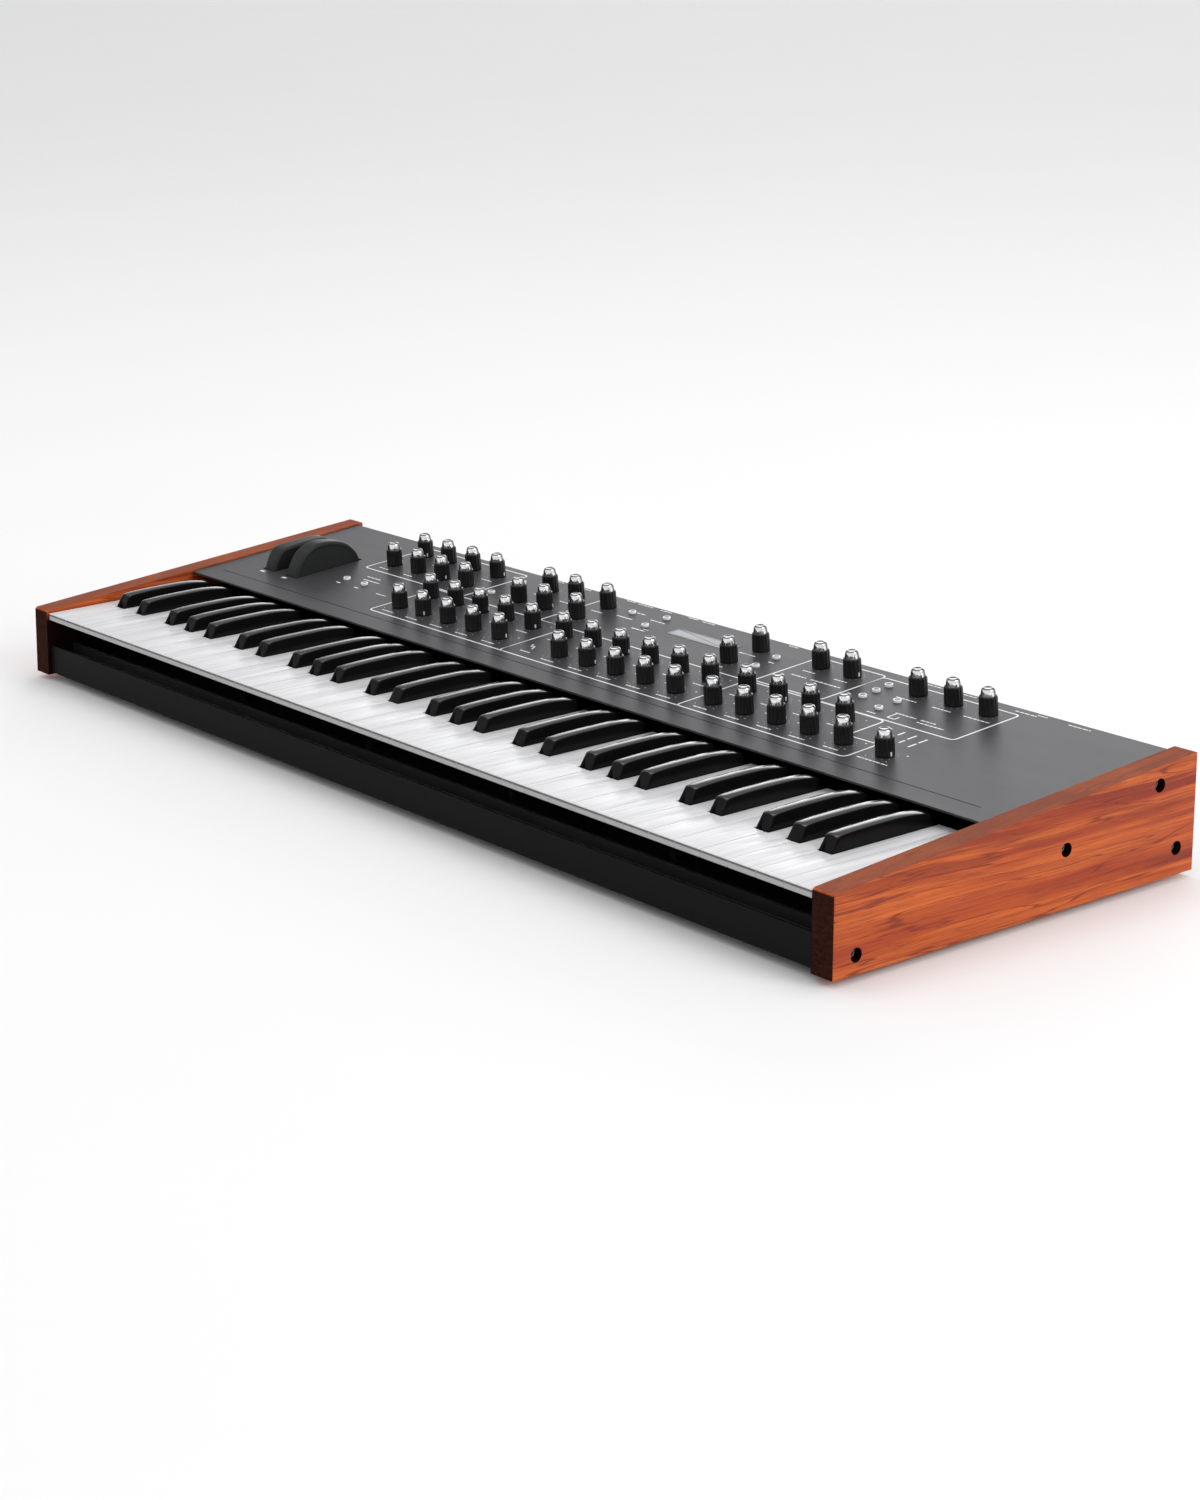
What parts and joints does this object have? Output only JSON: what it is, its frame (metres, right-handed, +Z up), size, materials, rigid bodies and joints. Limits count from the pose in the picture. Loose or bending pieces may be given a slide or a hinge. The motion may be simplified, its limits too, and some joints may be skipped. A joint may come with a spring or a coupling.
{
  "type": "synthesizer",
  "caption": "Keyboard synthesizer with wooden end cheeks, a sloped dark metal panel of turning knobs and push buttons, two performance wheels and full-size keys.",
  "frame": {"origin": "middle of the footprint, on the plane of the rubber feet", "axes": "+X along the keyboard from low keys to high keys, +Y from the player to the rear wall, +Z up"},
  "size_m": [0.885, 0.324, 0.0994],
  "materials": {
    "red_wood": "satin lacquered, red-brown, straight grain along the cheek",
    "panel_paint": "satin dark grey powder coat with white printing",
    "tray_paint": "satin black",
    "white_key": "glossy white",
    "black_key": "glossy black",
    "knob_black": "fluted black body with a silver cap",
    "wheel_black": "satin black, slightly soft",
    "button_white": "satin light grey",
    "lens": "clear lens over a pale display",
    "display": "pale display glass on a green board",
    "screw_black": "black oxide",
    "rubber": "matt black",
    "pcb": "green solder mask",
    "steel": "bare",
    "frame_metal": "black",
    "felt": "red felt",
    "component": "black moulded",
    "cable_grey": "grey ribbon"
  },
  "bodies": {
    "chassis": {"left_cheek": "red_wood", "right_cheek": "red_wood", "top_panel": "panel_paint", "chassis_tray": "tray_paint", "section_knobs": "knob_black", "display_window": "lens", "display_module": "display", "cheek_screws": "screw_black", "chassis_screws": "screw_black", "rubber_feet": "rubber", "contact_rubber_strip": "rubber", "panel_board": "pcb", "main_board": "pcb", "voice_board": "pcb", "key_contact_board": "pcb", "key_pivot_rod": "steel", "key_return_springs": "steel", "pitch_return_spring": "steel", "board_standoffs": "steel", "wheel_bracket": "steel", "power_supply": "steel", "keybed_frame": "frame_metal", "key_felt_strips": "felt", "knob_potentiometers": "component", "push_switches": "component", "wheel_sensors": "component", "audio_jacks": "component", "data_sockets": "component", "power_inlet": "component", "ribbon_cables": "cable_grey"},
    "white_keys_c": {"white_keys_c": "white_key"},
    "white_keys_d": {"white_keys_d": "white_key"},
    "white_keys_e": {"white_keys_e": "white_key"},
    "white_keys_f": {"white_keys_f": "white_key"},
    "white_keys_g": {"white_keys_g": "white_key"},
    "white_keys_a": {"white_keys_a": "white_key"},
    "white_keys_b": {"white_keys_b": "white_key"},
    "white_key_top_c": {"white_key_top_c": "white_key"},
    "black_keys_c_sharp": {"black_keys_c_sharp": "black_key"},
    "black_keys_d_sharp": {"black_keys_d_sharp": "black_key"},
    "black_keys_f_sharp": {"black_keys_f_sharp": "black_key"},
    "black_keys_g_sharp": {"black_keys_g_sharp": "black_key"},
    "black_keys_a_sharp": {"black_keys_a_sharp": "black_key"},
    "pitch_wheel": {"pitch_wheel": "wheel_black"},
    "mod_wheel": {"mod_wheel": "wheel_black"},
    "knob_volume": {"knob_volume": "knob_black"},
    "knob_data_select": {"knob_data_select": "knob_black"},
    "knob_data_value": {"knob_data_value": "knob_black"},
    "knob_cutoff": {"knob_cutoff": "knob_black"},
    "knob_resonance": {"knob_resonance": "knob_black"},
    "knob_attack": {"knob_attack": "knob_black"},
    "knob_decay": {"knob_decay": "knob_black"},
    "knob_sustain": {"knob_sustain": "knob_black"},
    "knob_release": {"knob_release": "knob_black"},
    "knob_pitch": {"knob_pitch": "knob_black"},
    "octave_buttons": {"octave_buttons": "button_white"},
    "panel_buttons": {"panel_buttons": "button_white"},
    "power_rocker": {"power_rocker": "component"}
  },
  "joints": [
    {"name": "press_c", "type": "hinge", "parent": "chassis", "child": "white_keys_c", "pos_m": [0, 0.014, 0.0485], "axis": [1, 0, 0], "range_deg": [0, 3.2], "stiffness_Nm_per_rad": 0.5},
    {"name": "press_d", "type": "hinge", "parent": "chassis", "child": "white_keys_d", "pos_m": [0, 0.014, 0.0485], "axis": [1, 0, 0], "range_deg": [0, 3.2], "stiffness_Nm_per_rad": 0.5},
    {"name": "press_e", "type": "hinge", "parent": "chassis", "child": "white_keys_e", "pos_m": [0, 0.014, 0.0485], "axis": [1, 0, 0], "range_deg": [0, 3.2], "stiffness_Nm_per_rad": 0.5},
    {"name": "press_f", "type": "hinge", "parent": "chassis", "child": "white_keys_f", "pos_m": [0, 0.014, 0.0485], "axis": [1, 0, 0], "range_deg": [0, 3.2], "stiffness_Nm_per_rad": 0.5},
    {"name": "press_g", "type": "hinge", "parent": "chassis", "child": "white_keys_g", "pos_m": [0, 0.014, 0.0485], "axis": [1, 0, 0], "range_deg": [0, 3.2], "stiffness_Nm_per_rad": 0.5},
    {"name": "press_a", "type": "hinge", "parent": "chassis", "child": "white_keys_a", "pos_m": [0, 0.014, 0.0485], "axis": [1, 0, 0], "range_deg": [0, 3.2], "stiffness_Nm_per_rad": 0.5},
    {"name": "press_b", "type": "hinge", "parent": "chassis", "child": "white_keys_b", "pos_m": [0, 0.014, 0.0485], "axis": [1, 0, 0], "range_deg": [0, 3.2], "stiffness_Nm_per_rad": 0.5},
    {"name": "press_top_c", "type": "hinge", "parent": "chassis", "child": "white_key_top_c", "pos_m": [0, 0.014, 0.0485], "axis": [1, 0, 0], "range_deg": [0, 3.2], "stiffness_Nm_per_rad": 0.5},
    {"name": "press_c_sharp", "type": "hinge", "parent": "chassis", "child": "black_keys_c_sharp", "pos_m": [0, 0.014, 0.0485], "axis": [1, 0, 0], "range_deg": [0, 3.2], "stiffness_Nm_per_rad": 0.5},
    {"name": "press_d_sharp", "type": "hinge", "parent": "chassis", "child": "black_keys_d_sharp", "pos_m": [0, 0.014, 0.0485], "axis": [1, 0, 0], "range_deg": [0, 3.2], "stiffness_Nm_per_rad": 0.5},
    {"name": "press_f_sharp", "type": "hinge", "parent": "chassis", "child": "black_keys_f_sharp", "pos_m": [0, 0.014, 0.0485], "axis": [1, 0, 0], "range_deg": [0, 3.2], "stiffness_Nm_per_rad": 0.5},
    {"name": "press_g_sharp", "type": "hinge", "parent": "chassis", "child": "black_keys_g_sharp", "pos_m": [0, 0.014, 0.0485], "axis": [1, 0, 0], "range_deg": [0, 3.2], "stiffness_Nm_per_rad": 0.5},
    {"name": "press_a_sharp", "type": "hinge", "parent": "chassis", "child": "black_keys_a_sharp", "pos_m": [0, 0.014, 0.0485], "axis": [1, 0, 0], "range_deg": [0, 3.2], "stiffness_Nm_per_rad": 0.5},
    {"name": "turn_pitch_wheel", "type": "hinge", "parent": "chassis", "child": "pitch_wheel", "pos_m": [-0.3758, 0.06062, 0.06635], "axis": [1, 0, 0], "range_deg": [-38, 38], "stiffness_Nm_per_rad": 0.05},
    {"name": "turn_mod_wheel", "type": "hinge", "parent": "chassis", "child": "mod_wheel", "pos_m": [-0.3456, 0.06062, 0.06635], "axis": [1, 0, 0], "range_deg": [-32, 30]},
    {"name": "turn_knob_volume", "type": "hinge", "parent": "chassis", "child": "knob_volume", "pos_m": [0.2955, 0.13426, 0.08038], "axis": [0, -0.076, 0.9971], "range_deg": [-150, 150]},
    {"name": "turn_knob_data_select", "type": "hinge", "parent": "chassis", "child": "knob_data_select", "pos_m": [0.083, 0.13426, 0.08038], "axis": [0, -0.076, 0.9971], "range_deg": [-150, 150]},
    {"name": "turn_knob_data_value", "type": "hinge", "parent": "chassis", "child": "knob_data_value", "pos_m": [0.0835, 0.10186, 0.07791], "axis": [0, -0.076, 0.9971], "range_deg": [-150, 150]},
    {"name": "turn_knob_cutoff", "type": "hinge", "parent": "chassis", "child": "knob_cutoff", "pos_m": [-0.02, 0.03166, 0.07256], "axis": [0, -0.076, 0.9971], "range_deg": [-150, 150]},
    {"name": "turn_knob_resonance", "type": "hinge", "parent": "chassis", "child": "knob_resonance", "pos_m": [0.0105, 0.03166, 0.07256], "axis": [0, -0.076, 0.9971], "range_deg": [-150, 150]},
    {"name": "turn_knob_attack", "type": "hinge", "parent": "chassis", "child": "knob_attack", "pos_m": [0.1405, 0.03166, 0.07256], "axis": [0, -0.076, 0.9971], "range_deg": [-150, 150]},
    {"name": "turn_knob_decay", "type": "hinge", "parent": "chassis", "child": "knob_decay", "pos_m": [0.171, 0.03166, 0.07256], "axis": [0, -0.076, 0.9971], "range_deg": [-150, 150]},
    {"name": "turn_knob_sustain", "type": "hinge", "parent": "chassis", "child": "knob_sustain", "pos_m": [0.2015, 0.03166, 0.07256], "axis": [0, -0.076, 0.9971], "range_deg": [-150, 150]},
    {"name": "turn_knob_release", "type": "hinge", "parent": "chassis", "child": "knob_release", "pos_m": [0.232, 0.03166, 0.07256], "axis": [0, -0.076, 0.9971], "range_deg": [-150, 150]},
    {"name": "turn_knob_pitch", "type": "hinge", "parent": "chassis", "child": "knob_pitch", "pos_m": [-0.2083, 0.03166, 0.07256], "axis": [0, -0.076, 0.9971], "range_deg": [-150, 150]},
    {"name": "push_octave_buttons", "type": "slide", "parent": "chassis", "child": "octave_buttons", "axis": [0, 0.076, -0.9971], "range_m": [0, 0.0008]},
    {"name": "push_panel_buttons", "type": "slide", "parent": "chassis", "child": "panel_buttons", "axis": [0, 0.076, -0.9971], "range_m": [0, 0.0008]},
    {"name": "rock_power", "type": "hinge", "parent": "chassis", "child": "power_rocker", "pos_m": [0.372, 0.1554, 0.047], "axis": [1, 0, 0], "range_deg": [0, 13]}
  ]
}
